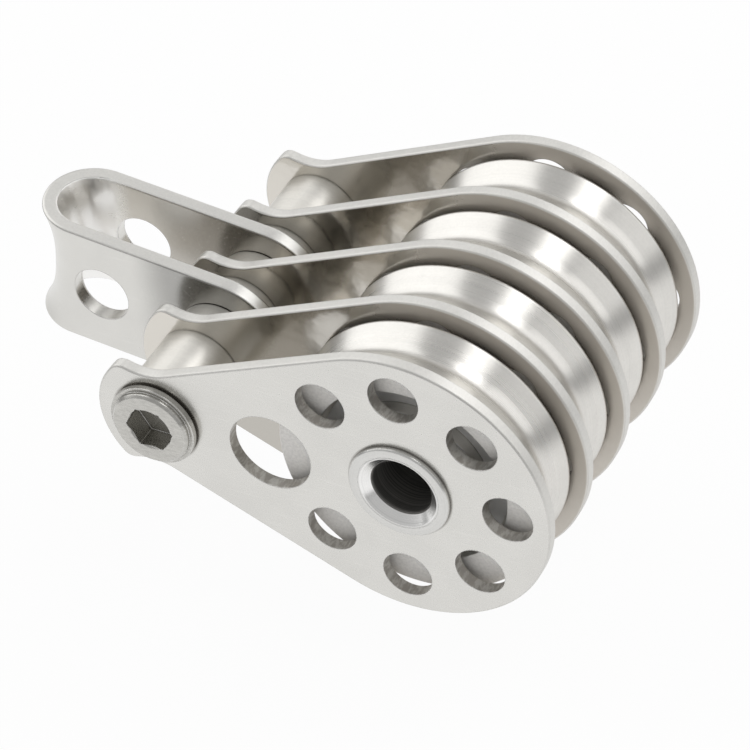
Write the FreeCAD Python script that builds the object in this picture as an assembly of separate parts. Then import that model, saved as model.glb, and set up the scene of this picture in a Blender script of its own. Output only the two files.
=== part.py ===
"""Quadruple block: five cheek plates, four grooved sheaves on one hollow axle and a swinging strap.

Millimetres. The origin is the centre of the hollow axle's bore, halfway across the stack of plates.
The axle and the head bolt run along Y, the head of the block points to -X, and +Z is up.
"""
import FreeCAD, Part
import math
import os

from FreeCAD import Vector

# Stack of plates across the block
plate_count = 5
plate_thickness = 1.8
plate_gap = 10.05

# Outline of a cheek plate
big_end_radius = 20.7
taper_angle = 23.4
head_distance = 35.3
head_tip = 8.6
head_half_width = 7.9
head_end_radius = 11.0
head_corner_radius = 1.8
neck_radius = 8.0
plate_edge_chamfer = 0.2

# Holes of a cheek plate
hole_circle_radius = 14.9
hole_sectors = 8
small_hole_radius = 3.5
large_hole_radius = 5.85
large_hole_distance = 18.6

# Hollow axle with a ring at each end
axle_radius = 5.7
axle_bore_radius = 4.2
axle_flare_land = 0.25
ring_wall = 1.35
ring_thickness = 0.75
ring_edge_chamfer = 0.2
axle_hole_clearance = 0.05

# Bearing of each sheave: a fixed sleeve and a bush that turns with the sheave
sleeve_wall = 1.65
bush_wall = 1.65
running_clearance = 0.05
bush_end_play = 0.1

# Sheave
sheave_radius = 18.6
sheave_width = 8.2
sheave_edge_chamfer = 0.15
groove_depth = 1.5
groove_bottom_radius = 3.0
groove_land = 0.4
sheave_hub_wall = 1.5
web_thickness = 4.4
web_recess_radius = 13.6
web_corner_chamfer = 0.6

# Head bolt, barrel nut and spacer tubes
bolt_radius = 4.0
bolt_hole_clearance = 0.1
bolt_flange_radius = 6.1
bolt_flange_thickness = 1.15
bolt_crown_step = 0.55
bolt_crown_height = 0.85
bolt_edge_chamfer = 0.35
hex_across_flats = 6.0
hex_depth = 3.2
hex_mouth_chamfer = 0.25
barrel_wall = 1.0
thread_length = 8.6
thread_clearance = 0.05
barrel_length = 11.4
spacer_wall = 1.75

# Strap
strap_thickness = 2.1
strap_half_width = 9.3
strap_waist_length = 28.1
strap_waist_depth = 2.1
strap_waist_power = 2.6
strap_hole_radius = 4.15
strap_hole_distance = 18.1
strap_edge_radius = 0.3
strap_side_play = 0.1
strap_swing = 6.9
strap_loft_sections = 9

# Room by which a cutting tool reaches past what it cuts, and the finest length that counts as none
cut_room = 1.0
flat_tolerance = 1e-6

# Sizes that follow from the ones above
plate_pitch = plate_thickness + plate_gap
stack_half = (plate_count - 1) * plate_pitch / 2 + plate_thickness / 2
gap_count = plate_count - 1
axle_hole_radius = axle_radius + axle_hole_clearance
axle_flare_radius = axle_radius - axle_flare_land
ring_radius = axle_radius + ring_wall
bolt_hole_radius = bolt_radius + bolt_hole_clearance
bolt_crown_radius = bolt_flange_radius - bolt_crown_step
thread_radius = bolt_radius - barrel_wall
spacer_radius = bolt_hole_radius + spacer_wall
sleeve_radius = axle_hole_radius + sleeve_wall
bush_bore_radius = sleeve_radius + running_clearance
bush_radius = bush_bore_radius + bush_wall
sheave_hub_radius = bush_radius + sheave_hub_wall
groove_radius = sheave_radius - groove_depth
strap_bore_radius = bolt_radius + running_clearance
strap_outer_bend = plate_pitch / 2 + strap_thickness / 2
strap_inner_bend = plate_pitch / 2 - strap_thickness / 2

ACROSS = Vector(0, 1, 0)
BOLT_X = -head_distance


def save(node, shape):
    """Write one sub-part to its own file."""
    shape.exportStep("parts/" + node + ".step")


def plate_y(index):
    """Centre of a plate, counted from 0 at the near side."""
    return (index - (plate_count - 1) / 2) * plate_pitch


def gap_y(index):
    """Centre of the gap between plate index and the next one."""
    return plate_y(index) + plate_pitch / 2


def cylinder(radius, y_low, y_high, x=0.0, z=0.0):
    """Round bar along Y."""
    return Part.makeCylinder(radius, y_high - y_low, Vector(x, y_low, z), ACROSS)


def tube(inner, outer, y_low, y_high, x=0.0):
    """Round tube along Y."""
    return cylinder(outer, y_low, y_high, x).cut(cylinder(inner, y_low, y_high, x))


def line(a, b):
    return Part.LineSegment(a, b).toShape()


def arc(a, b, c):
    return Part.Arc(a, b, c).toShape()


def polygon(points):
    """Straight edges from point to point, back to the first one."""
    return [line(points[i], points[(i + 1) % len(points)]) for i in range(len(points))]


def turned(edges, x=0.0):
    """Solid of revolution about the line along Y at x, from a closed profile in the XY plane."""
    face = Part.Face(Part.Wire(edges))
    face.translate(Vector(x, 0, 0))
    return face.revolve(Vector(x, 0, 0), ACROSS, 360)


def radial(radius, y):
    """Point of a turned profile, at a distance from the axis and a place along it."""
    return Vector(radius, y, 0)


def plate_outline(y):
    """Closed outline of a cheek plate: round big end, straight tapers, hollow neck and flared head."""
    taper = math.radians(taper_angle)
    normal = (math.sin(taper), math.cos(taper))
    along = (math.cos(taper), -math.sin(taper))

    # End arc of the head and the rounded corner inside it
    end_centre = head_distance + head_tip - head_end_radius
    corner_z = head_half_width - head_corner_radius
    corner_reach = head_end_radius - head_corner_radius
    corner_x = end_centre + math.sqrt(corner_reach ** 2 - corner_z ** 2)

    # Neck arc, outside the plate, touching the taper and the corner
    start = [(big_end_radius + neck_radius) * n for n in normal]
    to_corner = (corner_x - start[0], corner_z - start[1])
    forward = to_corner[0] * along[0] + to_corner[1] * along[1]
    sideways = to_corner[0] * normal[0] + to_corner[1] * normal[1]
    reach = neck_radius + head_corner_radius
    run = forward - math.sqrt(reach ** 2 - sideways ** 2)
    neck_x = start[0] + run * along[0]
    neck_z = start[1] + run * along[1]

    def point(x, z):
        return Vector(-x, y, z)

    def toward(from_x, from_z, to_x, to_z, distance):
        length = math.hypot(to_x - from_x, to_z - from_z)
        share = distance / length
        return (from_x + (to_x - from_x) * share, from_z + (to_z - from_z) * share)

    taper_start = (big_end_radius * normal[0], big_end_radius * normal[1])
    taper_end = (neck_x - neck_radius * normal[0], neck_z - neck_radius * normal[1])
    neck_end = toward(neck_x, neck_z, corner_x, corner_z, neck_radius)
    neck_low = (neck_x, neck_z - neck_radius)
    corner_end = toward(end_centre, 0, corner_x, corner_z, head_end_radius)
    corner_top = (corner_x, corner_z + head_corner_radius)
    tip = (end_centre + head_end_radius, 0)

    edges = []
    for side in (1, -1):
        edges.append(line(point(taper_start[0], side * taper_start[1]), point(taper_end[0], side * taper_end[1])))
        edges.append(arc(
            point(taper_end[0], side * taper_end[1]),
            point(neck_low[0], side * neck_low[1]),
            point(neck_end[0], side * neck_end[1])))
        edges.append(arc(
            point(neck_end[0], side * neck_end[1]),
            point(corner_top[0], side * corner_top[1]),
            point(corner_end[0], side * corner_end[1])))
    edges.append(arc(point(corner_end[0], corner_end[1]), point(*tip), point(corner_end[0], -corner_end[1])))
    edges.append(arc(
        point(taper_start[0], taper_start[1]),
        point(-big_end_radius, 0),
        point(taper_start[0], -taper_start[1])))
    return Part.Wire(Part.__sortEdges__(edges))


def cheek_plate(index):
    """One flat plate with its axle hole, bolt hole, large hole and ring of small holes."""
    low = plate_y(index) - plate_thickness / 2
    high = low + plate_thickness
    plate = Part.Face(plate_outline(low)).extrude(Vector(0, plate_thickness, 0))
    plate = plate.makeChamfer(plate_edge_chamfer, [e for e in plate.Edges if is_flat_edge(e)])
    holes = [
        cylinder(axle_hole_radius, low, high),
        cylinder(bolt_hole_radius, low, high, BOLT_X),
        cylinder(large_hole_radius, low, high, -large_hole_distance),
    ]
    for sector in range(1, hole_sectors):
        angle = 2 * math.pi * sector / hole_sectors
        x = -hole_circle_radius * math.cos(angle)
        z = hole_circle_radius * math.sin(angle)
        holes.append(cylinder(small_hole_radius, low, high, x, z))
    return plate.cut(Part.makeCompound(holes))


def is_flat_edge(edge):
    """True where an edge lies in a plane across the axle."""
    return edge.BoundBox.YLength < flat_tolerance


def sheave(index):
    """Turned wheel with a shallow rope groove, a recessed web on both sides and a bored hub."""
    centre = gap_y(index)
    half = sheave_width / 2
    web = web_thickness / 2
    edge = sheave_edge_chamfer

    # Straight flanks touch the round bottom of the groove
    lip = half - groove_land
    bottom_centre = groove_radius + groove_bottom_radius
    rise = sheave_radius - bottom_centre
    reach = math.hypot(lip, rise)
    flank = math.asin(groove_bottom_radius / reach) + math.atan2(rise, lip)
    touch_y = groove_bottom_radius * math.sin(flank)
    touch_r = bottom_centre - groove_bottom_radius * math.cos(flank)

    def at(radius, y):
        return radial(radius, centre + y)

    edges = []
    for side in (-1, 1):
        corners = [
            at(bush_radius, side * half),
            at(sheave_hub_radius, side * half),
            at(sheave_hub_radius, side * web),
            at(web_recess_radius - web_corner_chamfer, side * web),
            at(web_recess_radius, side * (web + web_corner_chamfer)),
            at(web_recess_radius, side * half),
            at(sheave_radius - edge, side * half),
            at(sheave_radius, side * (half - edge)),
            at(sheave_radius, side * lip),
            at(touch_r, side * touch_y),
        ]
        edges += [line(corners[i], corners[i + 1]) for i in range(len(corners) - 1)]
    edges.append(arc(at(touch_r, -touch_y), at(groove_radius, 0), at(touch_r, touch_y)))
    edges.append(line(at(bush_radius, -half), at(bush_radius, half)))
    return turned(Part.__sortEdges__(edges))


def sheave_bush(index):
    """Plain bearing bush, pressed into the sheave and a little longer than it."""
    reach = plate_gap / 2 - bush_end_play
    return tube(bush_bore_radius, bush_radius, gap_y(index) - reach, gap_y(index) + reach)


def bearing_sleeve(index):
    """Fixed sleeve that keeps two plates apart at the axle and carries the bush."""
    reach = plate_gap / 2
    return tube(axle_hole_radius, sleeve_radius, gap_y(index) - reach, gap_y(index) + reach)


def axle_tube():
    """Hollow axle through the whole stack, with both ends of its bore flared."""
    end = stack_half + ring_thickness
    flare = axle_flare_radius - axle_bore_radius
    return turned(polygon([
        radial(axle_bore_radius, -end + flare),
        radial(axle_flare_radius, -end),
        radial(axle_radius, -end),
        radial(axle_radius, end),
        radial(axle_flare_radius, end),
        radial(axle_bore_radius, end - flare),
    ]))


def axle_ring(side):
    """Flat ring pressed on one end of the axle, against the outer plate."""
    inner_y = side * stack_half
    outer_y = side * (stack_half + ring_thickness)
    return turned(polygon([
        radial(axle_radius, inner_y),
        radial(ring_radius, inner_y),
        radial(ring_radius, outer_y - side * ring_edge_chamfer),
        radial(ring_radius - ring_edge_chamfer, outer_y),
        radial(axle_radius, outer_y),
    ]))


def screw_head(side):
    """Low round head in two steps, seated on the outer plate."""
    seat = side * stack_half
    flange_top = side * (stack_half + bolt_flange_thickness)
    crown_top = side * (stack_half + bolt_flange_thickness + bolt_crown_height)
    edge = bolt_edge_chamfer
    return turned(polygon([
        radial(0, seat),
        radial(bolt_flange_radius - edge, seat),
        radial(bolt_flange_radius, seat + side * edge),
        radial(bolt_flange_radius, flange_top),
        radial(bolt_crown_radius, flange_top),
        radial(bolt_crown_radius, crown_top - side * edge),
        radial(bolt_crown_radius - edge, crown_top),
        radial(0, crown_top),
    ]), BOLT_X)


def hex_socket(side):
    """Hexagon pocket of a screw head, with its flats eased at the mouth."""
    mouth = side * (stack_half + bolt_flange_thickness + bolt_crown_height)
    flat_radius = hex_across_flats / 2
    corner_radius = hex_across_flats / math.sqrt(3)
    mouth_radius = flat_radius + hex_mouth_chamfer
    corners = []
    for i in range(6):
        angle = math.radians(60 * i)
        corners.append(Vector(BOLT_X + corner_radius * math.cos(angle), mouth, corner_radius * math.sin(angle)))
    inward = Vector(0, -side, 0)
    pocket = Part.Face(Part.Wire(polygon(corners))).extrude(inward * hex_depth)
    cone = Part.makeCone(mouth_radius, flat_radius, hex_mouth_chamfer, Vector(BOLT_X, mouth, 0), inward)
    return pocket.fuse(cone)


def head_bolt():
    """Bolt through all the plates, with a thinner threaded end inside the barrel nut."""
    shank_end = stack_half - barrel_length
    body = screw_head(-1).fuse(cylinder(bolt_radius, -stack_half, shank_end, BOLT_X))
    body = body.fuse(cylinder(thread_radius, shank_end, shank_end + thread_length, BOLT_X))
    return body.cut(hex_socket(-1)).removeSplitter()


def barrel_nut():
    """Barrel with the same head, screwed on the bolt from the far side."""
    start = stack_half - barrel_length
    body = screw_head(1).fuse(cylinder(bolt_radius, start, stack_half, BOLT_X))
    body = body.cut(cylinder(thread_radius + thread_clearance, start, start + thread_length + bolt_edge_chamfer, BOLT_X))
    return body.cut(hex_socket(1)).removeSplitter()


def outer_spacer(index):
    """Tube on the bolt that fills the gap between two plates with no strap leg in it."""
    reach = plate_gap / 2
    return tube(bolt_hole_radius, spacer_radius, gap_y(index) - reach, gap_y(index) + reach, BOLT_X)


def strap_spacer(index, side):
    """Short tube on the bolt beside a strap leg, seated on the plate on that side."""
    inner_y = gap_y(index) + side * (strap_thickness / 2 + strap_side_play)
    outer_y = gap_y(index) + side * plate_gap / 2
    return tube(bolt_hole_radius, spacer_radius, min(inner_y, outer_y), max(inner_y, outer_y), BOLT_X)


def strap_section(z):
    """U-shaped section of the strap at one height: two legs and a round bend."""
    flare = strap_waist_depth * (abs(z) / strap_half_width) ** strap_waist_power
    bend_x = -(strap_waist_length + flare - strap_outer_bend)
    end_x = strap_half_width
    outer = strap_outer_bend
    inner = strap_inner_bend

    def at(x, y):
        return Vector(x, y, z)

    return Part.Wire([
        line(at(end_x, outer), at(bend_x, outer)),
        arc(at(bend_x, outer), at(bend_x - outer, 0), at(bend_x, -outer)),
        line(at(bend_x, -outer), at(end_x, -outer)),
        line(at(end_x, -outer), at(end_x, -inner)),
        line(at(end_x, -inner), at(bend_x, -inner)),
        arc(at(bend_x, -inner), at(bend_x - inner, 0), at(bend_x, inner)),
        line(at(bend_x, inner), at(end_x, inner)),
        line(at(end_x, inner), at(end_x, outer)),
    ])


def strap():
    """U-shaped strap, waisted at its bend, with round leg ends, two cross holes and the bolt bore."""
    steps = strap_loft_sections - 1
    heights = [strap_half_width * (2 * i / steps - 1) for i in range(strap_loft_sections)]
    body = Part.makeLoft([strap_section(z) for z in heights], True, False)

    # Round the ends of the legs about the bolt
    reach = strap_outer_bend + cut_room
    wide = strap_half_width + cut_room
    corners = Part.makeBox(wide, 2 * reach, 2 * wide, Vector(0, -reach, -wide))
    corners = corners.cut(cylinder(strap_half_width, -reach, reach))
    body = body.cut(corners)
    edges = [e for e in body.Edges if is_strap_rim(e)]
    body = body.makeFillet(strap_edge_radius, edges)

    body = body.cut(cylinder(strap_bore_radius, -reach, reach))
    body = body.cut(cylinder(strap_hole_radius, -reach, reach, -strap_hole_distance))
    body.rotate(Vector(0, 0, 0), ACROSS, strap_swing)
    body.translate(Vector(BOLT_X, 0, 0))
    return body


def is_strap_rim(edge):
    """True for the long edges along the top and the bottom of the strap and round its leg ends."""
    box = edge.BoundBox
    flat = box.ZLength < flat_tolerance and abs(abs(box.ZMin) - strap_half_width) < flat_tolerance
    leg_end = box.YLength < flat_tolerance and box.XMax > strap_half_width / 2
    return flat and box.XLength > flat_tolerance or leg_end


def build():
    os.makedirs("parts", exist_ok=True)
    for i in range(plate_count):
        save("cheek_plate_" + str(i + 1), cheek_plate(i))
    for i in range(gap_count):
        save("sheave_" + str(i + 1), sheave(i))
        save("sheave_bush_" + str(i + 1), sheave_bush(i))
        save("bearing_sleeve_" + str(i + 1), bearing_sleeve(i))
    save("axle_tube", axle_tube())
    save("axle_ring_near", axle_ring(-1))
    save("axle_ring_far", axle_ring(1))
    save("head_bolt", head_bolt())
    save("barrel_nut", barrel_nut())
    save("outer_spacer_near", outer_spacer(0))
    save("outer_spacer_far", outer_spacer(gap_count - 1))
    middle = (plate_count - 1) // 2
    save("strap_spacer_1", strap_spacer(middle - 1, -1))
    save("strap_spacer_2", strap_spacer(middle - 1, 1))
    save("strap_spacer_3", strap_spacer(middle, -1))
    save("strap_spacer_4", strap_spacer(middle, 1))
    save("strap", strap())


build()
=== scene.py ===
"""Looks of the quadruple block: steel finishes, pale floor, soft studio light and the photograph's camera."""
import bpy
import math

from mathutils import Matrix, Vector


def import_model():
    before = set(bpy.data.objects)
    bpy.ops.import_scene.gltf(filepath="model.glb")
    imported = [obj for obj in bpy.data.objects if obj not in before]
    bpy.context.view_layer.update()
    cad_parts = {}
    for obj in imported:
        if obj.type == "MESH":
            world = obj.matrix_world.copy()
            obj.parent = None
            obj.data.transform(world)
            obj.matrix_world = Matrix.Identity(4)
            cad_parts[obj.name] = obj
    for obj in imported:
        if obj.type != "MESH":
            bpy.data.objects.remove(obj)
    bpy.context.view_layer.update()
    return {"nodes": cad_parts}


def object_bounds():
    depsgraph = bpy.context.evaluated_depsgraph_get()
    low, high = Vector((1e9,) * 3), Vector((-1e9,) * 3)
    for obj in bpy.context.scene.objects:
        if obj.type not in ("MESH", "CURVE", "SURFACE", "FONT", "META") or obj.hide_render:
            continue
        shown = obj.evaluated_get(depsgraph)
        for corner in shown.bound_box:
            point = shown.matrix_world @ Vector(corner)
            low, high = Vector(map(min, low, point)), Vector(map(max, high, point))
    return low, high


MM = 0.001


def rgb(red, green, blue):
    return (red, green, blue, 1.0)


# Camera, in degrees and millimetres, and what it clips in metres
CAMERA_AZIMUTH = 29.6291
CAMERA_ELEVATION = 40.7521
CAMERA_ROLL = -5.2006
CAMERA_DISTANCE = 461.193
CAMERA_TARGET = (-12.4172, -6.5123, 0.5549)
CAMERA_LENS = 169.213
CAMERA_SENSOR = 36.0
CAMERA_CLIP = (0.01, 20.0)

# Places on the block, in millimetres from the middle of the axle
HEAD_DISTANCE = 35.3
PUNCHED_RADIUS = 19.5
PUNCHED_REACH = (-27.0, -10.0)
PUNCHED_HALF_HEIGHT = 7.0
BORE_RADIUS = 4.35
FLARE_RADIUS = 5.5
OUTER_FACE = 24.4
FLANGE_RADIUS = 6.1
RING_RADIUS = 7.05
BOLT_LINE = 0.45
RING_LINE = 0.4
GAP_MIDDLE = 11.85
NECK_START = -34.5
GAPS_HALF = 22.8
GAPS_END = (23.4, 23.0)
SHEAVE_RADIUS = 18.6
DULL_RADIUS = 17.2
DULL_START = (-13.0, -3.0)
WEB_RADIUS = 13.4
SOCKET_RADIUS = 3.7
SOCKET_MOUTH = 26.45
SOCKET_FLOOR = 23.7
STRAP_INSIDE = (5.1, 4.9)
STRAP_BEND = -57.5
STRAP_BEND_ZONE = (-54.0, -58.5)
STRAP_SHADE = (-48.5, -42.0)

# Rounding of sharp edges and reach of the darker hollows, in millimetres
EDGE_RADIUS = 0.3
TURNED_EDGE_RADIUS = 0.25
DEEP_REACH = 9.0
CONTACT_REACH = 0.8
HOLLOW_SAMPLES = 14
BEVEL_SAMPLES = 6

# Width of the soft border between two finishes, in millimetres to each side of it
BORDER = 0.1
FINISH_BORDER = 0.4
NECK_BORDER = 2.0

# Patterns of noise: scale in features per millimetre, detail, and roughness where it isn't a half
GRAIN = (3.4, 3.0, 0.75)
GROUND = (3.2, 4.0, 0.75)
CLOUD = (0.13, 3.0)
SWELL = (0.22, 2.0)
WAVES = (0.33, 1.5)
DENTS = (0.26, 1.5)
STREAKS = (1.5, 4.0, 0.7)
SMEAR = (1.5, 4.0, 0.7)
SPECKLE = (2.8, 3.0, 0.7)
TURNED_CLOUD = (0.35, 3.0)

# Rings of the turned pieces: detail and roughness of their noise, and the scale of broader rings among them
RING_DETAIL = (3.0, 0.7)
BROAD_SCALE = 0.2
BROAD_DETAIL = 2.0
BROAD_SHIFT = (0.0, 0.0, 4.0)

# How far patterns are drawn out along one axis, where 1 is not at all
GROUND_SQUASH = 0.5
STREAK_SQUASH = 0.35
DENT_SQUASH = 0.45
SMEAR_SQUASH = (0.5, 2.2)
SCRATCH_SCALE = (0.12, 0.6, 5.0)

# Heights of the bumps in millimetres, and how strong the patterns are in them
FINE_HEIGHT = 0.02
SWELL_HEIGHT = 0.3
DENT_HEIGHT = 1.0
SATIN_BUMP = 0.09
PLATE_SWELL = 0.05
STRAP_SWELL = 0.1
PLATE_WAVES = 0.22
STRAP_DENTS = 0.6
SCRATCH_IN_HEIGHT = -0.2
RIM_IN_HEIGHT = 1.5
STRAP_GRAIN_IN_HEIGHT = 0.28
PLATE_GRAIN_IN_HEIGHT = (0.0, 1.0, 0.2, 0.1)
SIDE_IN_HEIGHT = (0.0, 1.0, 1.0, 0.2)
BROAD_IN_HEIGHT = 0.8
SPECKLE_IN_HEIGHT = 0.4

# Where a mask begins and ends: turn of an edge's or a rim's normal, and depth of a scratch's noise
EDGE_TURN = (0.96, 0.78)
PLATE_RIM_TURN = (0.95, 0.6)
STRAP_RIM_TURN = (0.5, 0.85)
LOOP_TURN = (-0.3, -0.1)
FLAT_TURN = (0.7, 0.95)
SCRATCH_LINE = (0.68, 0.74)

# Tones that patterns and masks give: from low and high of the pattern to low and high of the tone
GRAIN_TONE = (0.25, 0.75, 0.975, 1.012)
CLOUD_TONE = (0.3, 0.7, -0.02, 0.02)
SCRATCH_TONE = (0.0, 1.0, 1.0, 1.03)
PLATE_RIM_TONE = (0.25, 0.75, 0.94, 1.05)
STRAP_RIM_TONE = (0.25, 0.75, 0.92, 1.02)
# Painted shade deep in the gaps and in the outer gaps
DEEP_TONE = (0.28, 0.62, 0.64, 1.2)
OUTER_GAP_TONE = (0.0, 1.0, 1.0, 0.76)
STREAK_TONE = (0.42, 0.58, 0.15, 1.0)
# Painted shade on the strap, darker toward the plates
STRAP_SHADE_TONE = (1.0, 0.6)
STRAP_DEEP_TONE = (1.1, 0.8)
RING_TONE = (0.25, 0.75, 0.97, 1.02)
BROAD_TONE = (0.3, 0.7, -0.015, 0.015)
FLARE_TONE = (0.25, 0.75, 0.9, 1.0)
BORE_TONE = (0.3, 0.7, 0.5, 1.4)
SIDE_TONE = (0.3, 0.7, 0.9, 1.04)
SMEAR_TONE = (0.35, 0.65, 0.92, 1.06)

# Roughness in the same way, and what masks add to it
PLATE_FACE_ROUGHNESS = (0.2, 0.8, 0.23, 0.29)
PLATE_RIM_ROUGHNESS = (0.2, 0.8, 0.42, 0.52)
STRAP_FACE_ROUGHNESS = (0.2, 0.8, 0.22, 0.28)
STRAP_RIM_ROUGHNESS = (0.2, 0.8, 0.32, 0.42)
SMEAR_ROUGHNESS = (0.35, 0.65, 0.04, -0.03)
RING_REACH = (0.2, 0.8)
RING_ROUGHNESS = (-0.03, 0.04)
SCRATCH_POLISH = 0.04
INSIDE_POLISH = 0.11
DULL_ROUGHNESS = 0.24
BEND_ROUGHNESS = 0.07
BORE_ROUGHNESS = 0.25
SIDE_ROUGHNESS = 0.2

# Turn of the stretched highlights, in whole turns, so that they lie across the rings
STRETCH_TURN = 0.25

# How metallic the dull zone, the bore and the sheaves' sides are
DULL_METAL = (0.0, 1.0, 1.0, 0.8)
BORE_METAL = (0.0, 1.0, 1.0, 0.6)
SIDE_METAL = (0.0, 1.0, 1.0, 0.1)

# How much of a colour is laid over the steel
TORN_AMOUNT = 0.55
DULL_ZONE_SHADE_AMOUNT = 0.8
# Edge lightening, partly wear and partly painted highlight
PLATE_WEAR_AND_HIGHLIGHT = 0.3
TURNED_WEAR_AND_HIGHLIGHT = 0.45
HEAD_WEAR_AND_HIGHLIGHT = 0.85
LINE_AMOUNT = (0.0, 0.6)
CONTACT_AMOUNT = (0.72, 0.5, 0.0, 0.55)

# Directions of the scratches, in degrees
PLATE_SCRATCHES = (12.0, 71.0, 128.0)
STRAP_SCRATCHES = (20.0, 83.0, 140.0)

# Colours of the plates and the strap
PLATE_STEEL = rgb(0.735, 0.725, 0.695)
STRAP_STEEL = rgb(0.73, 0.72, 0.69)
# Painted shade: browner, darker steel for faces inside the gaps and inside the strap's loop
INNER_FACE_SHADE = rgb(0.60, 0.575, 0.53)
TORN_STEEL = rgb(0.33, 0.30, 0.27)
# Painted shade, browner, on the inner faces just past the sheaves
DULL_ZONE_SHADE = rgb(0.64, 0.60, 0.545)
# Painted highlight inside the strap's bend
BEND_HIGHLIGHT = rgb(0.97, 0.96, 0.94)
# Edges lightened, partly as wear and partly as a painted highlight
WORN_AND_HIGHLIT_PLATE = rgb(0.9, 0.89, 0.87)
# Painted contact shade round the bolt's head and the axle's ring
PLATE_CONTACT_SHADE = rgb(0.09, 0.075, 0.06)

# Colours of the turned pieces
SHEAVE_STEEL = rgb(0.76, 0.745, 0.71)
# Sheave sides and web near white: painted light that lifts their shade
SHEAVE_SIDE_PAINTED_LIGHT = rgb(0.95, 0.93, 0.90)
SHEAVE_WEB_PAINTED_LIGHT = rgb(0.93, 0.92, 0.90)
BUSH_BRONZE = rgb(0.56, 0.42, 0.22)
AXLE_STEEL = rgb(0.71, 0.705, 0.685)
# Painted highlight on the axle's flared ends
FLARE_HIGHLIGHT = rgb(0.95, 0.945, 0.93)
# Painted shade in the axle's bore
BORE_SHADE = rgb(0.17, 0.165, 0.155)
HEAD_STEEL = rgb(0.56, 0.55, 0.52)
# Painted shade down in the bolt's socket
SOCKET_SHADE = rgb(0.44, 0.43, 0.40)
SPACER_STEEL = rgb(0.83, 0.81, 0.76)
# Edges lightened, partly as wear and partly as a painted highlight
WORN_AND_HIGHLIT_TURNED = rgb(0.93, 0.92, 0.90)
# Painted contact shade in tight corners
TURNED_CONTACT_SHADE = rgb(0.08, 0.07, 0.055)

# Floor, in metres, and how much of it glows white to the camera and to reflections
FLOOR_SIZE = 6.0
FLOOR_GREY = 0.86
FLOOR_BELOW = 0.0125
GLOW_TO_CAMERA = 0.95
GLOW_TO_GLOSS = 0.81
GLOW_NEAR = 0.10
GLOW_FAR = 0.30
GLOW_LEFT_FAR = 0.28

# Grey of the room in reflections and in the light that it gives
ROOM_IN_GLOSS = 0.5
ROOM_LIGHT = 0.5

# Soft boxes: direction from the block, direction of their long side, distance and size in metres,
# and brightness where 1 is white
SOFT_BOXES = {
    "lamp_over_right": ((0.335, 0.22, 0.87), (0, 1, 0), 1.0, (0.37, 1.1), 1.9),
    "lamp_right": ((0.84, 0.32, 0.43), (0, 1, 0), 1.0, (0.82, 1.0), 0.63),
    "lamp_left": ((-0.78, 0.15, 0.60), (0, 1, 0), 1.0, (1.2, 1.2), 0.88),
    "lamp_back": ((0.05, 0.92, 0.36), (0, 0, 1), 1.1, (1.3, 0.8), 0.6),
}


class Nodes:
    """Short ways to build a node tree from functions that take and give sockets."""

    def __init__(self, tree):
        self.tree = tree
        tree.nodes.clear()

    def add(self, kind, **settings):
        node = self.tree.nodes.new(kind)
        for key, value in settings.items():
            setattr(node, key, value)
        return node

    def put(self, socket, value):
        if isinstance(value, bpy.types.NodeSocket):
            self.tree.links.new(value, socket)
        else:
            socket.default_value = value

    def math(self, operation, a, b=0.0):
        node = self.add("ShaderNodeMath", operation=operation)
        self.put(node.inputs[0], a)
        self.put(node.inputs[1], b)
        return node.outputs[0]

    def plus(self, a, b):
        return self.math("ADD", a, b)

    def minus(self, a, b):
        return self.math("SUBTRACT", a, b)

    def times(self, a, b):
        return self.math("MULTIPLY", a, b)

    def absolute(self, value):
        return self.math("ABSOLUTE", value)

    def outside(self, mask):
        """1 where the mask is 0, and 0 where it is 1."""
        return self.minus(1.0, mask)

    def between(self, factor, a, b):
        """Number that goes from a to b as the factor goes from 0 to 1."""
        return self.plus(self.times(self.minus(b, a), factor), a)

    def vector(self, operation, a, b=(0.0, 0.0, 0.0)):
        node = self.add("ShaderNodeVectorMath", operation=operation)
        self.put(node.inputs[0], a)
        self.put(node.inputs[1], b)
        return node.outputs["Value" if operation in ("DOT_PRODUCT", "LENGTH") else "Vector"]

    def split(self, vector):
        node = self.add("ShaderNodeSeparateXYZ")
        self.put(node.inputs[0], vector)
        return node.outputs

    def join(self, x, y, z):
        node = self.add("ShaderNodeCombineXYZ")
        for socket, value in zip(node.inputs, (x, y, z)):
            self.put(socket, value)
        return node.outputs[0]

    def noise(self, vector, scale, detail=2.0, roughness=0.5):
        node = self.add("ShaderNodeTexNoise")
        self.put(node.inputs["Vector"], vector)
        node.inputs["Scale"].default_value = scale
        node.inputs["Detail"].default_value = detail
        node.inputs["Roughness"].default_value = roughness
        return node.outputs[0]

    def fit(self, value, low, high, to_low=0.0, to_high=1.0):
        """value from low..high to to_low..to_high, smoothly and held at both ends."""
        node = self.add("ShaderNodeMapRange", interpolation_type="SMOOTHSTEP")
        for socket, number in zip(node.inputs, (value, low, high, to_low, to_high)):
            self.put(socket, number)
        return node.outputs[0]

    def blend(self, factor, a, b):
        """Colour between a and b, from the sockets that a mix node has for colours."""
        node = self.add("ShaderNodeMix", data_type="RGBA")
        for index, value in zip((0, 6, 7), (factor, a, b)):
            self.put(node.inputs[index], value)
        return node.outputs[2]

    def bump(self, height, strength, distance, normal):
        """Normal that a height, with a distance in millimetres, gives on top of another normal."""
        node = self.add("ShaderNodeBump")
        node.inputs["Strength"].default_value = strength
        node.inputs["Distance"].default_value = distance * MM
        self.put(node.inputs["Height"], height)
        self.put(node.inputs["Normal"], normal)
        return node.outputs[0]


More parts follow.
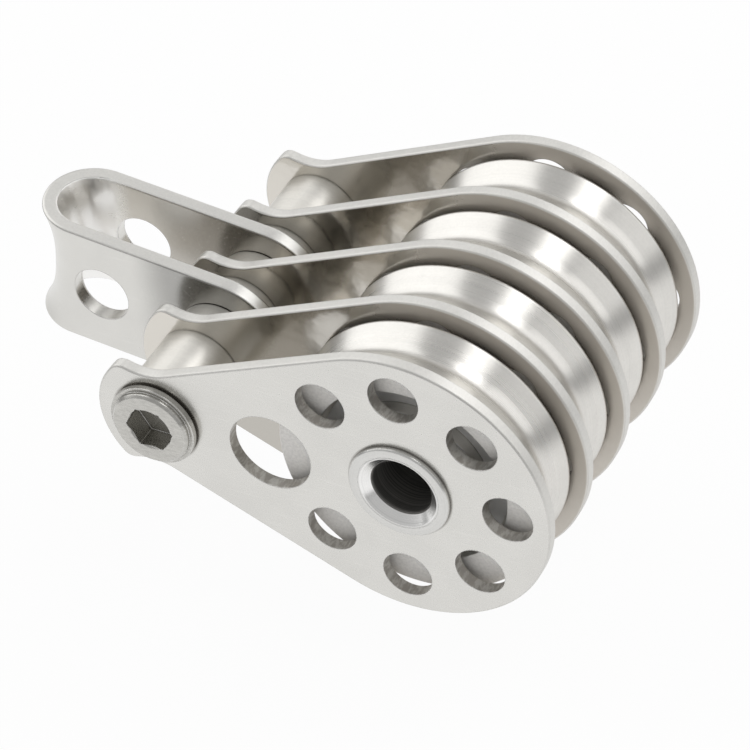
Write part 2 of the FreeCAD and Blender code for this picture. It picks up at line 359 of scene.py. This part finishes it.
def new_material(name):
    """A new metal: its node builder, its shader, and the surface's place in millimetres and its normal."""
    material = bpy.data.materials.new(name)
    material.use_nodes = True
    n = Nodes(material.node_tree)
    shader = n.add("ShaderNodeBsdfPrincipled")
    shader.inputs["Metallic"].default_value = 1.0
    output = n.add("ShaderNodeOutputMaterial")
    n.put(output.inputs["Surface"], shader.outputs[0])
    coordinates = n.add("ShaderNodeTexCoord")
    place = n.vector("SCALE", coordinates.outputs["Object"])
    place.node.inputs["Scale"].default_value = 1 / MM
    return material, n, shader, place, coordinates.outputs["Normal"]


def rounded_edges(n, radius):
    """Normal that rounds the solid's edges, and a mask for wear and painted highlight: 1 along those edges, 0
    on its faces.
    """
    bevel = n.add("ShaderNodeBevel", samples=BEVEL_SAMPLES)
    bevel.inputs["Radius"].default_value = radius * MM
    geometry = n.add("ShaderNodeNewGeometry")
    same = n.vector("DOT_PRODUCT", bevel.outputs[0], geometry.outputs["Normal"])
    return bevel.outputs[0], n.fit(same, *EDGE_TURN)


def scaled(n, colour, factor):
    """colour times a factor that varies over the surface."""
    node = n.add("ShaderNodeVectorMath", operation="SCALE")
    node.inputs[0].default_value = colour[:3]
    n.put(node.inputs["Scale"], factor)
    return node.outputs[0]


def scratches(n, place, turns):
    """Thin straight marks in a few directions, 0 to 1."""
    total = 0.0
    for turn in turns:
        mapping = n.add("ShaderNodeMapping")
        n.put(mapping.inputs["Vector"], place)
        mapping.inputs["Rotation"].default_value = (0.0, math.radians(turn), 0.0)
        mapping.inputs["Scale"].default_value = SCRATCH_SCALE
        mapping.inputs["Location"].default_value = (turn, 0.0, 0.0)
        line = n.noise(mapping.outputs[0], 1.0, 1.0)
        total = n.math("MAXIMUM", total, n.fit(line, *SCRATCH_LINE))
    return total


def radius_about(n, place, centre_x):
    """Distance from the line along Y at centre_x, in millimetres."""
    x, _, z = n.split(place)
    x = n.minus(x, centre_x)
    return n.math("SQRT", n.plus(n.times(x, x), n.times(z, z)))


def hollows(n, reach):
    """How open the surface is within a reach in millimetres: 1 in the open, 0.5 in a square corner."""
    node = n.add("ShaderNodeAmbientOcclusion", samples=HOLLOW_SAMPLES)
    node.inputs["Distance"].default_value = reach * MM
    return node.outputs["AO"]


def punched_mask(n, place):
    """1 where a cheek plate's hole walls are, 0 along its outer outline."""
    x, _, z = n.split(place)
    start, end = PUNCHED_REACH
    in_ring = n.math("LESS_THAN", radius_about(n, place, 0.0), PUNCHED_RADIUS)
    in_height = n.math("LESS_THAN", n.absolute(z), PUNCHED_HALF_HEIGHT)
    in_reach = n.times(n.math("GREATER_THAN", x, start), n.math("LESS_THAN", x, end))
    return n.math("MAXIMUM", in_ring, n.times(in_height, in_reach))


def satin_pattern(n, place, ground_place, turns):
    """Grain, grinding marks, scratches, and the tone that they give to satin steel."""
    grain = n.noise(place, *GRAIN)
    cloud = n.noise(place, *CLOUD)
    ground = n.noise(ground_place, *GROUND)
    marks = scratches(n, place, turns)
    tone = n.plus(n.fit(grain, *GRAIN_TONE), n.fit(cloud, *CLOUD_TONE))
    tone = n.times(tone, n.fit(marks, *SCRATCH_TONE))
    return grain, ground, marks, tone


def satin_roughness(n, shader, rim, face_rough, rim_rough, marks):
    """Sets the roughness of a satin piece: its faces, its ground rims and its smoother scratches."""
    rough = n.between(rim, face_rough, rim_rough)
    n.put(shader.inputs["Roughness"], n.minus(rough, n.times(marks, SCRATCH_POLISH)))


def satin_normal(n, place, rim, grain_height, ground, marks, swell, normal):
    """Normal of a satin piece: its grain, scratches and ground rims, on a face that swells a little."""
    height = n.plus(grain_height, n.times(marks, SCRATCH_IN_HEIGHT))
    height = n.plus(height, n.times(n.times(ground, rim), RIM_IN_HEIGHT))
    bumped = n.bump(height, SATIN_BUMP, FINE_HEIGHT, normal)
    return n.bump(n.noise(place, *SWELL), swell, SWELL_HEIGHT, bumped)


def plate_finish():
    """Satin steel plate: fine grain, a few light scratches, tumbled rims and rougher walls in punched holes.

    Faces that look into the gaps of the block are painted browner and darker as shade, and duller, with a
    browner painted shade, where they stand out past the sheaves.
    """
    material, n, shader, place, normal = new_material("cheek_steel_satin")
    x, y, z = n.split(place)
    side = n.absolute(y)
    rim = n.fit(n.absolute(n.split(normal)[1]), *PLATE_RIM_TURN)
    round_normal, wear_and_highlight = rounded_edges(n, EDGE_RADIUS)
    inside = n.times(n.fit(side, *GAPS_END), n.outside(rim))
    ground_place = n.join(x, n.times(y, GROUND_SQUASH), z)
    grain, ground, marks, tone = satin_pattern(n, place, ground_place, PLATE_SCRATCHES)

    # Inner faces: browner, with painted shade deep in a gap and in the outer gaps between the head and the
    # sheaves
    outer_gap = n.fit(side, GAP_MIDDLE - FINISH_BORDER, GAP_MIDDLE + FINISH_BORDER)
    past_head = n.fit(x, NECK_START - NECK_BORDER, NECK_START + NECK_BORDER)
    deep_shade = n.fit(hollows(n, DEEP_REACH), *DEEP_TONE)
    deep_shade = n.times(deep_shade, n.fit(n.times(outer_gap, past_head), *OUTER_GAP_TONE))
    face = n.blend(inside, scaled(n, PLATE_STEEL, tone), scaled(n, INNER_FACE_SHADE, deep_shade))
    colour = n.blend(rim, face, scaled(n, PLATE_STEEL, n.fit(ground, *PLATE_RIM_TONE)))

    # Walls of the punched holes, torn in streaks
    streaks = n.noise(n.join(x, n.times(y, STREAK_SQUASH), z), *STREAKS)
    torn = n.times(rim, punched_mask(n, place))
    torn = n.times(torn, n.fit(streaks, *STREAK_TONE))
    colour = n.blend(n.times(torn, TORN_AMOUNT), colour, TORN_STEEL)

    # Duller zone of the inner faces just past the sheaves, painted browner there as shade
    radius = radius_about(n, place, 0.0)
    zone = n.times(n.fit(radius, DULL_RADIUS, SHEAVE_RADIUS), n.fit(x, *DULL_START))
    zone = n.times(zone, inside)
    colour = n.blend(n.times(zone, DULL_ZONE_SHADE_AMOUNT), colour, DULL_ZONE_SHADE)
    n.put(shader.inputs["Metallic"], n.fit(zone, *DULL_METAL))

    # Painted contact shade round the bolt's head and the axle's ring, and brighter edges, partly wear and
    # partly painted highlight
    at_bolt = n.fit(radius_about(n, place, -HEAD_DISTANCE), FLANGE_RADIUS + BOLT_LINE, FLANGE_RADIUS)
    at_ring = n.fit(radius, RING_RADIUS + RING_LINE, RING_RADIUS)
    outward = n.fit(side, GAPS_HALF, OUTER_FACE, *LINE_AMOUNT)
    colour = n.blend(n.times(n.math("MAXIMUM", at_bolt, at_ring), outward), colour, PLATE_CONTACT_SHADE)
    colour = n.blend(n.times(wear_and_highlight, PLATE_WEAR_AND_HIGHLIGHT), colour, WORN_AND_HIGHLIT_PLATE)
    n.put(shader.inputs["Base Color"], colour)

    dullness = n.minus(n.times(zone, DULL_ROUGHNESS), n.times(inside, INSIDE_POLISH))
    face_rough = n.plus(n.fit(grain, *PLATE_FACE_ROUGHNESS), dullness)
    satin_roughness(n, shader, rim, face_rough, n.fit(ground, *PLATE_RIM_ROUGHNESS), marks)

    grain_height = n.times(grain, n.fit(inside, *PLATE_GRAIN_IN_HEIGHT))
    bumped = satin_normal(n, place, rim, grain_height, ground, marks, PLATE_SWELL, round_normal)
    waves = n.times(n.noise(place, *WAVES), inside)
    n.put(shader.inputs["Normal"], n.bump(waves, PLATE_WAVES, SWELL_HEIGHT, bumped))
    return material


def strap_finish():
    """Satin steel strap, with browner painted shade inside its loop, and a brighter painted highlight and an
    uneven surface inside its bend.
    """
    material, n, shader, place, normal = new_material("strap_steel_satin")
    x, y, z = n.split(place)
    facing_x, _, facing_z = n.split(normal)
    rim = n.fit(n.absolute(facing_z), *STRAP_RIM_TURN)
    round_normal = rounded_edges(n, EDGE_RADIUS)[0]
    inside = n.times(n.fit(n.absolute(y), *STRAP_INSIDE), n.fit(facing_x, *LOOP_TURN))
    inside = n.times(inside, n.outside(rim))
    bend = n.times(n.fit(x, *STRAP_BEND_ZONE), inside)
    ground_place = n.join(x, y, n.times(z, GROUND_SQUASH))
    grain, ground, marks, tone = satin_pattern(n, place, ground_place, STRAP_SCRATCHES)

    # Painted shade: outer faces darker toward the plates, and browner inner faces darker toward the plates
    shaded = n.times(tone, n.fit(x, *STRAP_SHADE, *STRAP_SHADE_TONE))
    deep_shade = n.times(tone, n.fit(x, STRAP_BEND, STRAP_SHADE[1], *STRAP_DEEP_TONE))
    colour = n.blend(n.minus(inside, bend), scaled(n, STRAP_STEEL, shaded), scaled(n, INNER_FACE_SHADE, deep_shade))
    # Painted highlight inside the bend
    colour = n.blend(bend, colour, BEND_HIGHLIGHT)
    colour = n.blend(rim, colour, scaled(n, STRAP_STEEL, n.fit(ground, *STRAP_RIM_TONE)))
    n.put(shader.inputs["Base Color"], colour)

    face_rough = n.plus(n.fit(grain, *STRAP_FACE_ROUGHNESS), n.times(bend, BEND_ROUGHNESS))
    satin_roughness(n, shader, rim, face_rough, n.fit(ground, *STRAP_RIM_ROUGHNESS), marks)

    grain_height = n.times(grain, STRAP_GRAIN_IN_HEIGHT)
    bumped = satin_normal(n, place, rim, grain_height, ground, marks, STRAP_SWELL, round_normal)
    dents = n.times(n.noise(n.join(x, y, n.times(z, DENT_SQUASH)), *DENTS), bend)
    n.put(shader.inputs["Normal"], n.bump(dents, STRAP_DENTS, DENT_HEIGHT, bumped))
    return material


def turned_finish(name, base, rough, lines, centre_x=0.0, depth=0.06, stretch=0.5, part=""):
    """Metal turned about a line along Y: fine rings, with highlights that stretch across them.

    lines is how many rings there are to a millimetre, and depth is how strongly they stand out.
    """
    material, n, shader, place, normal = new_material(name)
    x, y, z = n.split(place)
    radius = radius_about(n, place, centre_x)
    flat = n.fit(n.absolute(n.split(normal)[1]), *FLAT_TURN)
    round_normal, wear_and_highlight = rounded_edges(n, TURNED_EDGE_RADIUS)
    across = n.join(radius, y, 0.0)
    rings = n.noise(across, lines, *RING_DETAIL)
    broad = n.noise(n.vector("ADD", across, BROAD_SHIFT), lines * BROAD_SCALE, BROAD_DETAIL)
    speckle = n.noise(place, *SPECKLE)
    cloud = n.noise(place, *TURNED_CLOUD)
    tone = n.plus(n.fit(rings, *RING_TONE), n.fit(broad, *BROAD_TONE))
    tone = n.plus(tone, n.fit(cloud, *BROAD_TONE))
    tone = n.times(tone, n.fit(speckle, *RING_TONE))
    colour = scaled(n, base, tone)
    roughness = n.fit(rings, *RING_REACH, *(rough + step for step in RING_ROUGHNESS))
    height = n.plus(rings, n.times(broad, BROAD_IN_HEIGHT))
    height = n.plus(height, n.times(speckle, SPECKLE_IN_HEIGHT))
    contact_shade = n.fit(hollows(n, CONTACT_REACH), *CONTACT_AMOUNT)
    wear_and_highlight_amount = TURNED_WEAR_AND_HIGHLIGHT

    # Axle: a painted highlight on the flared ends, and painted shade in the rougher bore
    if part == "axle":
        flare = n.fit(radius, FLARE_RADIUS + BORDER, FLARE_RADIUS - BORDER)
        colour = n.blend(flare, colour, scaled(n, FLARE_HIGHLIGHT, n.fit(rings, *FLARE_TONE)))
        bore = n.math("LESS_THAN", radius, BORE_RADIUS)
        colour = n.blend(bore, colour, scaled(n, BORE_SHADE, n.fit(rings, *BORE_TONE)))
        n.put(shader.inputs["Metallic"], n.fit(bore, *BORE_METAL))
        roughness = n.plus(roughness, n.times(bore, BORE_ROUGHNESS))

    # Sheave: flat sides with a smooth web inside a speckled rim, painted near white as painted light that
    # lifts their shade
    if part == "sheave":
        web = n.fit(radius, WEB_RADIUS + BORDER, WEB_RADIUS - BORDER)
        side = n.blend(web, scaled(n, SHEAVE_SIDE_PAINTED_LIGHT, n.fit(speckle, *SIDE_TONE)), SHEAVE_WEB_PAINTED_LIGHT)
        colour = n.blend(flat, colour, side)
        roughness = n.plus(roughness, n.times(flat, SIDE_ROUGHNESS))
        height = n.times(height, n.fit(flat, *SIDE_IN_HEIGHT))
        n.put(shader.inputs["Metallic"], n.fit(flat, *SIDE_METAL))
        contact_shade = n.times(contact_shade, n.outside(flat))

    # Bolt's head: smeared, with its edges worn and painted as highlights, and painted shade down in its
    # socket
    if part == "head":
        along, up = SMEAR_SQUASH
        smear = n.noise(n.join(n.times(x, along), y, n.times(z, up)), *SMEAR)
        colour = scaled(n, base, n.times(tone, n.fit(smear, *SMEAR_TONE)))
        roughness = n.plus(roughness, n.fit(smear, *SMEAR_ROUGHNESS))
        socket = n.math("LESS_THAN", radius, SOCKET_RADIUS)
        socket = n.times(socket, n.fit(n.absolute(y), SOCKET_MOUTH, SOCKET_FLOOR))
        colour = n.blend(socket, colour, SOCKET_SHADE)
        wear_and_highlight_amount = HEAD_WEAR_AND_HIGHLIGHT

    # Painted contact shade in tight corners
    colour = n.blend(contact_shade, colour, TURNED_CONTACT_SHADE)
    # Brighter edges, partly wear and partly painted highlight
    colour = n.blend(n.times(wear_and_highlight, wear_and_highlight_amount), colour, WORN_AND_HIGHLIT_TURNED)
    n.put(shader.inputs["Base Color"], colour)
    n.put(shader.inputs["Roughness"], roughness)
    tangent = n.add("ShaderNodeTangent", direction_type="RADIAL", axis="Y")
    n.put(shader.inputs["Tangent"], tangent.outputs[0])
    shader.inputs["Anisotropic"].default_value = stretch
    shader.inputs["Anisotropic Rotation"].default_value = STRETCH_TURN
    n.put(shader.inputs["Normal"], n.bump(height, depth, FINE_HEIGHT, round_normal))
    return material


def dress_nodes(frame):
    """Gives each CAD node its material."""
    axle = turned_finish("axle_steel_turned", AXLE_STEEL, rough=0.24, lines=4.0, depth=0.2, part="axle")
    head = turned_finish(
        "bolt_steel_bright", HEAD_STEEL, rough=0.24, lines=4.0,
        centre_x=-HEAD_DISTANCE, depth=0.09, part="head")
    spacer = turned_finish(
        "spacer_steel_turned", SPACER_STEEL, rough=0.42, lines=3.0,
        centre_x=-HEAD_DISTANCE, stretch=0.3)
    finishes = {
        "cheek_plate": plate_finish(),
        "sheave_bush": turned_finish("bush_bronze_turned", BUSH_BRONZE, rough=0.3, lines=3.0),
        "sheave": turned_finish("sheave_steel_turned", SHEAVE_STEEL, rough=0.29, lines=3.6, part="sheave"),
        "bearing_sleeve": axle,
        "axle": axle,
        "head_bolt": head,
        "barrel_nut": head,
        "outer_spacer": spacer,
        "strap_spacer": spacer,
        "strap": strap_finish(),
    }
    for name, piece in frame["nodes"].items():
        key = next(k for k in finishes if name.startswith(k))
        for material_slot in piece.material_slots:
            material_slot.material = finishes[key]


def floor():
    """Pale floor, near white to the camera and in part to reflections, low enough for the strap to swing."""
    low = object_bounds()[0]
    bpy.ops.mesh.primitive_plane_add(size=FLOOR_SIZE, location=(0.0, 0.0, low.z - FLOOR_BELOW))
    plane = bpy.context.active_object
    plane.name = "studio_floor"
    material = bpy.data.materials.new("studio_floor_white")
    material.use_nodes = True
    n = Nodes(material.node_tree)
    path = n.add("ShaderNodeLightPath")
    is_camera = path.outputs["Is Camera Ray"]
    spot = n.add("ShaderNodeTexCoord").outputs["Object"]
    to_camera = n.times(is_camera, GLOW_TO_CAMERA)
    to_gloss = n.times(path.outputs["Is Glossy Ray"], GLOW_TO_GLOSS)
    diffuse = n.add("ShaderNodeBsdfDiffuse")
    n.put(diffuse.inputs["Color"], rgb(FLOOR_GREY, FLOOR_GREY, FLOOR_GREY))
    glow = n.add("ShaderNodeEmission")
    dimmed = n.fit(n.vector("LENGTH", spot), GLOW_NEAR, GLOW_FAR, 1.0, GLOW_LEFT_FAR)
    n.put(glow.inputs["Strength"], n.math("MAXIMUM", is_camera, dimmed))
    mixed = n.add("ShaderNodeMixShader")
    n.put(mixed.inputs[0], n.math("MAXIMUM", to_camera, to_gloss))
    n.put(mixed.inputs[1], diffuse.outputs[0])
    n.put(mixed.inputs[2], glow.outputs[0])
    output = n.add("ShaderNodeOutputMaterial")
    n.put(output.inputs["Surface"], mixed.outputs[0])
    plane.data.materials.append(material)


def soft_box(name, direction, long_side, distance, size, brightness):
    """Rectangular lamp that faces the block, as bright as a surface of that brightness where 1 is white."""
    data = bpy.data.lights.new(name, "AREA")
    data.shape = "RECTANGLE"
    data.size, data.size_y = size
    data.energy = brightness * math.pi * size[0] * size[1]
    lamp = bpy.data.objects.new(name, data)
    away = Vector(direction).normalized()
    across = Vector(long_side).cross(away).normalized()
    lamp.matrix_world = Matrix((across, away.cross(across), away)).transposed().to_4x4()
    lamp.location = away * distance
    bpy.context.scene.collection.objects.link(lamp)


def world():
    """White to the camera, a pale grey room in reflections and for its light."""
    room = bpy.data.worlds.new("studio_room")
    bpy.context.scene.world = room
    room.use_nodes = True
    n = Nodes(room.node_tree)
    path = n.add("ShaderNodeLightPath")
    lit = rgb(ROOM_LIGHT, ROOM_LIGHT, ROOM_LIGHT)
    mirrored = rgb(ROOM_IN_GLOSS, ROOM_IN_GLOSS, ROOM_IN_GLOSS)
    grey = n.blend(path.outputs["Is Glossy Ray"], lit, mirrored)
    background = n.add("ShaderNodeBackground")
    n.put(background.inputs["Color"], n.blend(path.outputs["Is Camera Ray"], grey, rgb(1.0, 1.0, 1.0)))
    output = n.add("ShaderNodeOutputWorld")
    n.put(output.inputs["Surface"], background.outputs[0])


def lights():
    world()
    for name, settings in SOFT_BOXES.items():
        soft_box(name, *settings)


def camera():
    """The photograph's camera."""
    azimuth = math.radians(CAMERA_AZIMUTH)
    elevation = math.radians(CAMERA_ELEVATION)
    roll = math.radians(CAMERA_ROLL)
    back = Vector((
        math.sin(azimuth) * math.cos(elevation),
        -math.cos(azimuth) * math.cos(elevation),
        math.sin(elevation)))
    data = bpy.data.cameras.new("camera_photo")
    data.lens = CAMERA_LENS
    data.sensor_width = CAMERA_SENSOR
    data.clip_start, data.clip_end = CAMERA_CLIP
    eye = bpy.data.objects.new("camera_photo", data)
    bpy.context.scene.collection.objects.link(eye)
    eye.location = (Vector(CAMERA_TARGET) + back * CAMERA_DISTANCE) * MM
    turn = back.to_track_quat("Z", "Y").to_matrix()
    right = turn.col[0] * math.cos(roll) + turn.col[1] * math.sin(roll)
    up = back.cross(right)
    for column, axis in enumerate((right, up, back)):
        for row in range(3):
            turn[row][column] = axis[row]
    eye.rotation_mode = "QUATERNION"
    eye.rotation_quaternion = turn.to_quaternion()
    bpy.context.scene.camera = eye


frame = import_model()
bpy.context.scene.view_settings.view_transform = "Standard"
dress_nodes(frame)
floor()
lights()
camera()
